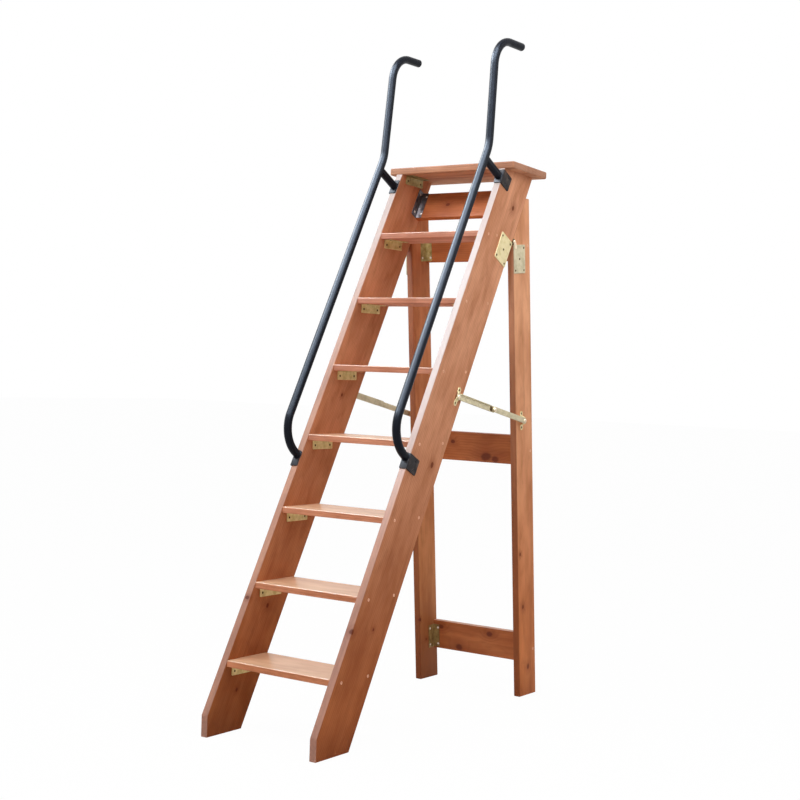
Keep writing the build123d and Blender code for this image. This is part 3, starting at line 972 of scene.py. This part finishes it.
right_rail, right_plug = handrail("right", 3.5, 162 * MM)
left_rail, left_plug = handrail("left", 7.1, 142 * MM, left_rail_shift)
fit(right_rail, "steps", "black_coat", "handrail_right")
fit(left_rail, "steps", "black_coat", "handrail_left")
fit(join("end_plugs", [right_plug, left_plug]), "steps", "cap_plastic", "handrail_end_caps")

dark_screw = screw_head("dark_screw", 3.7 * MM, plate_coat)
for level, distance in (("upper", stub_distance), ("lower", foot_distance - shoe_below_foot)):
    corner = from_nose(distance, plate_thickness) + ACROSS * (outer_side + plate_thickness)
    shoe = angle_plate("shoe", shoe_length, shoe_width, shoe_lap, plate_thickness, 3 * MM, 2.5 * MM)
    spots = [((shoe_screw_reach, 0, half * shoe_screw_spacing), -BACK) for half in (-0.5, 0.5)]
    heads = screwed(shoe, spots, plate_thickness, dark_screw)
    soften(shoe, 0.5 * MM)
    paint(shoe, plate_coat)
    shoe = seat(join(f"rail_shoe_{level}_right", [shoe, *heads]), place_at(corner, -raked_out, -ACROSS))
    left_shoe = mirrored(shoe, f"rail_shoe_{level}_left", left_rail_shift)
    fit(shoe, "steps", "black_coat", f"handrail_{level}_bracket_right")
    fit(left_shoe, "steps", "black_coat", f"handrail_{level}_bracket_left")
bpy.data.objects.remove(dark_screw)

# Leg hinges
hinge_pivot = pivots["legs_fold"]
leaf_length, leaf_width, leaf_thickness = 98 * MM, 73 * MM, 2.5 * MM
clearance = 0.3 * MM
eye_radius = 9.5 * MM
pin_radius = 4 * MM
eye_top = outer_side + leaf_thickness - 0.2 * MM
arm_face = outer_side + leaf_thickness + clearance
arm_top = arm_face + leaf_thickness
leaf_drop = 59 * MM
five_holes = ((0, 0), (-39, -28), (-39, 28), (38, -28), (38, 28))


def leaf(name, centre, along, across, face, bottom):
    """A hinge leaf with five screws, from its bottom on the wood's side out to its face."""
    piece = plate(name, leaf_length, leaf_width, face - bottom, 2.5 * MM, 3)
    spots = [((x * MM, y * MM, face - bottom), UP) for x, y in five_holes]
    heads = screwed(piece, spots, face - bottom)
    place = place_at(centre + ACROSS * bottom, along, across)
    for part in (piece, *heads):
        seat(part, place)
    return piece, heads


def strap(name, start, end, radius, low, high):
    """A bar with round ends between two side-view points."""
    reach = end - start
    piece = plate(name, reach.length + 2 * radius, 2 * radius, high - low, radius * round_end, 10)
    middle = (start + end) / 2 + ACROSS * low
    return seat(piece, place_at(middle, reach.normalized(), ACROSS.cross(reach.normalized())))


at_pivot = Vector((0, hinge_pivot.y, hinge_pivot.z))
front_centre = at_pivot - raked * leaf_drop + raked_out * 43.5 * MM
front_leaf, front_heads = leaf(
    "front_leaf", front_centre, raked, raked_out, outer_side + leaf_thickness, outer_side
)
neck_end = at_pivot - raked * 22 * MM + raked_out * 13 * MM
neck = strap("neck", at_pivot, neck_end, 5.5 * MM, outer_side, eye_top)
eye = disc("eye", eye_radius, outer_side, eye_top)
fuse(neck, seat(eye, facing(at_pivot, ACROSS)))
soften(neck, 0.35 * MM)
# The neck and eye are painted a dark steel: painted shade
paint(neck, painted_shade_steel)
soften(front_leaf, 0.35 * MM)
paint(front_leaf, yellow_zinc)
pin = disc("pin", pin_radius, outer_side, arm_top + clearance)
pin_head = seat(dome("pin_head", 6.2 * MM, 2.6 * MM), Matrix.Translation(UP * (arm_top + clearance)))
pin = join("pin", [pin, pin_head])
paint(seat(pin, facing(at_pivot, ACROSS)), rivet_steel)
front_leaf = join("hinge_front_right", [front_leaf, neck, pin, *front_heads])

rear_centre = at_pivot - leaning * leaf_drop + leaning_out * 36.5 * MM
rear_leaf, rear_heads = leaf("rear_leaf", rear_centre, leaning, -leaning_out, arm_face, leg_side)
knuckle = at_pivot - leaning * 8 * MM + leaning_out * 5 * MM
elbow = at_pivot - leaning * 19 * MM + leaning_out * 8 * MM
arm = strap("arm", at_pivot, knuckle, 6.2 * MM, arm_face, arm_top)
fuse(arm, strap("arm_end", knuckle, elbow, 5.6 * MM, arm_face, arm_top))
bore = disc("bore", pin_radius + clearance, -1 * MM, 12 * MM)
cut(arm, seat(bore, facing(at_pivot + ACROSS * outer_side, ACROSS)))
soften(arm, 0.8 * MM, 3)
paint(arm, rivet_steel)
soften(rear_leaf, 0.35 * MM)
paint(rear_leaf, grey_zinc)
rear_leaf = join("hinge_rear_right", [rear_leaf, arm, *rear_heads])
for piece, kind, body in ((front_leaf, "front", "steps"), (rear_leaf, "rear", "legs")):
    left_piece = mirrored(piece, f"hinge_{kind}_left")
    fit(piece, body, "zinc_plate", f"hinge_right_{kind}_leaf")
    fit(left_piece, body, "zinc_plate", f"hinge_left_{kind}_leaf")

# Folding stays
stay_front = pivots["stay_right_front_fold"].copy()
stay_rear = pivots["stay_right_rear_fold"].copy()
stay_front.x = stay_rear.x = 0
stay_line = stay_rear - stay_front
stay_way = stay_line.normalized()
stay_up = ACROSS.cross(stay_way)
front_share = 0.52
stay_middle = stay_front + stay_line * front_share
front_link_face = outer_side + 6 * MM
link_wall = 2 * MM
flange_depth = 6 * MM
rear_link_face = front_link_face + flange_depth + 1 * MM
rear_link_thickness = 2.5 * MM
rivet_radius = 3 * MM
rivet_head_size = (7.2 * MM, 3.4 * MM)


def stay_bracket(name, pivot, along, wood_face, link_face, link_thickness):
    """A strap bent out from the wood, with an oval ear and a screw at each end."""
    height = link_face - clearance - wood_face
    wall = 2 * MM
    # The strap's parts along it and its width, in millimetres
    ear, slope, bridge, width = 18, 5, 20, 16
    tip = -slope - bridge / 2
    ear_middle = ear / 2 - tip
    bpy.ops.mesh.primitive_plane_add(size=1)
    piece = named(name)
    piece.scale = (ear * MM, width * MM, 1)
    piece.location = (-ear_middle * MM, 0, 0)
    bpy.ops.object.transform_apply(location=True, rotation=True, scale=True)
    with editing(piece):
        for step, rise in ((slope, height - wall), (bridge, 0), (slope, wall - height), (ear, 0)):
            pick(piece, "EDGE", lambda middle, way: abs(way.y) > 0.9 and abs(middle.x - tip * MM) < near)
            push(step * MM, 0, rise)
            tip += step
        pick(piece, "VERT", lambda corner, way: abs(corner.x) > tip * MM - near)
        bpy.ops.mesh.bevel(offset=7.6 * MM, segments=6, affect="VERTICES")
    modify(piece, "SOLIDIFY", thickness=wall, offset=1)
    heads = screwed(piece, [((x * MM, 0, wall), UP) for x in (-ear_middle, ear_middle)], wall)
    soften(piece, 0.5 * MM)
    paint(piece, yellow_zinc)
    top = height + clearance * 2 + link_thickness
    rivet = disc("rivet", rivet_radius, height - wall, top, 24)
    head = seat(dome("rivet_head", *rivet_head_size), Matrix.Translation((0, 0, top)))
    rivet = paint(join("rivet", [rivet, head]), rivet_steel)
    piece = join(name, [piece, rivet, *heads])
    return seat(piece, place_at(pivot + ACROSS * wood_face, along, ACROSS.cross(along)))


front_bracket = stay_bracket(
    "stay_bracket_front_right", stay_front, raked, outer_side, front_link_face, link_wall
)
rear_bracket = stay_bracket(
    "stay_bracket_rear_right", stay_rear, leaning, leg_side, rear_link_face, rear_link_thickness
)


def stay_place(point, face):
    """The place of a link from its middle and the side of its face."""
    return place_at(point + ACROSS * face, stay_way, stay_up)


def drill(link, x):
    """Takes a rivet's hole out of a link."""
    hole = disc("hole", rivet_radius + clearance, -1 * MM, 4 * MM, 24)
    cut(link, seat(hole, Matrix.Translation((x, 0, 0))))


front_length = stay_line.length * front_share
rear_length = stay_line.length - front_length
front_width, rear_width = 21 * MM, 19 * MM
front_round = front_width / 2 * round_end
channel = plate("channel", front_length + front_width, front_width, link_wall, front_round, 10)
for side in (-1, 1):
    low_y = side * (front_width / 2 - link_wall / 2) - link_wall / 2
    flange = block(
        "flange",
        (-front_length / 2 + 11 * MM, low_y, 0.5 * MM),
        (front_length / 2 - 22 * MM, low_y + link_wall, flange_depth),
    )
    fuse(channel, flange)
drill(channel, -front_length / 2)
soften(channel, 0.5 * MM)
paint(channel, grey_zinc)
middle_pin = disc("middle_pin", rivet_radius, link_wall, flange_depth, 24)
paint(seat(middle_pin, Matrix.Translation((front_length / 2, 0, 0))), rivet_steel)
# A thin dark plate on the channel floor before the middle pin: a painted shadow inside the channel
shadow_plate_end = front_length / 2 - 8 * MM
shadow_plate = block(
    "shadow_plate",
    (shadow_plate_end - 16 * MM, -8 * MM, link_wall),
    (shadow_plate_end, 8 * MM, link_wall + 0.6 * MM),
)
soften(shadow_plate, 0.2 * MM)
paint(shadow_plate, painted_shade_steel)
channel = join("stay_channel_right", [channel, middle_pin, shadow_plate])
seat(channel, stay_place((stay_front + stay_middle) / 2, front_link_face))

rear_round = rear_width / 2 * round_end
flat = plate("flat", rear_length + rear_width, rear_width, rear_link_thickness, rear_round, 10)
drill(flat, rear_length / 2)
soften(flat, 0.5 * MM)
paint(flat, grey_zinc)
middle_head = dome("middle_head", *rivet_head_size)
paint(seat(middle_head, Matrix.Translation((-rear_length / 2, 0, rear_link_thickness))), rivet_steel)
flat = join("stay_flat_right", [flat, middle_head])
seat(flat, stay_place((stay_middle + stay_rear) / 2, rear_link_face))

for piece, left_name, body, solid in (
    (front_bracket, "stay_bracket_front_left", "steps", "stay_{}_front_bracket"),
    (rear_bracket, "stay_bracket_rear_left", "legs", "stay_{}_rear_bracket"),
    (channel, "stay_channel_left", "stay_{}_front", "stay_{}_front_link"),
    (flat, "stay_flat_left", "stay_{}_rear", "stay_{}_rear_link"),
):
    left_piece = mirrored(piece, left_name)
    fit(piece, body.format("right"), "zinc_plate", solid.format("right"))
    fit(left_piece, body.format("left"), "zinc_plate", solid.format("left"))

# Wood screws through the stringers into the treads, and through the legs into their rails.
# The places of a tread's screws are measured from its front edge
tread_screws = (28 * MM, 159 * MM)
last_tread_screws = (28 * MM, 80 * MM)
for hand, side in (("left", -1), ("right", 1)):
    heads = []
    for number in tread_numbers:
        low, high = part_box(f"tread_{number}")
        for reach in last_tread_screws if number == tread_numbers[-1] else tread_screws:
            spot = Vector((side * outer_side, low.y + reach, (low.z + high.z) / 2))
            heads.append(seat(again(wood_screw, "screw"), facing(spot, ACROSS * side)))
    fit(join(f"tread_screws_{hand}", heads), "steps", "galvanised_steel")
    heads = []
    for place in rail_knots:
        low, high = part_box(f"leg_rail_{place}")
        height = (low.z + high.z) / 2
        spot = Vector((side * leg_side, leg_rear(height) - 15 * MM, height))
        heads.append(seat(again(wood_screw, "screw"), facing(spot, ACROSS * side)))
    fit(join(f"leg_screws_{hand}", heads), "legs", "galvanised_steel")
for pattern in (bracket_screw, bright_screw, wood_screw):
    bpy.data.objects.remove(pattern)

# Floor, light and camera
bpy.ops.mesh.primitive_plane_add(size=60, location=(0, 0, 0))
floor = bpy.context.object
floor.name = "floor"
paper = Finish("white_paper")
glow = paper.node("ShaderNodeEmission", None, {"Color": (1, 1, 1, 1), "Strength": 1.0})
paper.feed(Base_Color=(0.92, 0.92, 0.92, 1), Roughness=0.8, Specular_IOR_Level=0.0)
glow_share = paper.seen_directly() * 0.98
sockets = {0: glow_share, 1: paper.surface.outputs[0], 2: glow.outputs[0]}
blend = paper.node("ShaderNodeMixShader", None, sockets)
paper.tree.links.new(blend.outputs[0], paper.tree.nodes["Material Output"].inputs[0])
floor.data.materials.append(paper.material)

scene = bpy.context.scene
scene.view_settings.view_transform = "Standard"
world = bpy.data.worlds.new("studio")
scene.world = world
world.use_nodes = True
sky = Shading(world.node_tree)
ambient = 0.4
level = sky.seen_directly() * (1.0 - ambient) + ambient
sky.link(sky.tree.nodes["Background"], "Color", (1, 1, 1, 1))
sky.link(sky.tree.nodes["Background"], "Strength", level)


def area_light(name, place, target, width, height, power):
    """A soft light that looks at a point."""
    light = bpy.data.lights.new(name, "AREA")
    light.shape = "RECTANGLE"
    light.size = width
    light.size_y = height
    light.energy = power
    lamp = bpy.data.objects.new(name, light)
    scene.collection.objects.link(lamp)
    lamp.location = place
    lamp.rotation_mode = "QUATERNION"
    lamp.rotation_quaternion = (Vector(target) - Vector(place)).to_track_quat("-Z", "Y")
    return lamp


aim_back, aim_height = -0.1, 1.2
area_light("key_light", (-0.4, -2.1, 3.8), (0, aim_back, aim_height), 4.2, 0.8, 95)
area_light("side_light", (2.2, 0.6, 2.9), (0.2, 0, 1.5), 1.8, 1.8, 30)
# The gleams show as reflections only
for name, place, aim, width, height, power in (
    ("left_gleam", (-2.2, -1.2, 3.8), 0, 3.2, 1.5, 840),
    ("middle_gleam", (0.2, -2.4, 3.9), 0, 2.4, 1.5, 260),
    ("right_gleam", (2.3, -1.9, 3.4), 0, 2.4, 1.5, 110),
    ("high_gleam", (1.0, -1.2, 4.5), 1.0, 3.6, 1.7, 760),
    ("side_gleam", (-3.5, 0.2, 1.8), 0, 3.6, 5.0, 75),
):
    gleam = area_light(name, place, (aim, aim_back, aim_height), width, height, power)
    gleam.data.color = (0.78, 0.88, 1.0)
    gleam.visible_camera = False
    gleam.visible_diffuse = False

bpy.ops.object.camera_add(location=(2.7768, -3.9189, 1.1300))
camera = bpy.context.object
camera.name = "camera"
yaw = radians(35.022)
pitch = radians(-1.147)
roll = radians(1.959)
ahead = Vector((-sin(yaw) * cos(pitch), cos(yaw) * cos(pitch), sin(pitch)))
level_right = Vector((cos(yaw), sin(yaw), 0))
level_up = level_right.cross(ahead)
camera_right = level_right * cos(roll) + level_up * sin(roll)
camera_up = level_up * cos(roll) - level_right * sin(roll)
turn = Matrix((camera_right, camera_up, -ahead)).transposed()
camera.rotation_mode = "QUATERNION"
camera.rotation_quaternion = turn.to_quaternion()
camera.data.sensor_width = 36.0
camera.data.lens = 65.72
scene.camera = camera
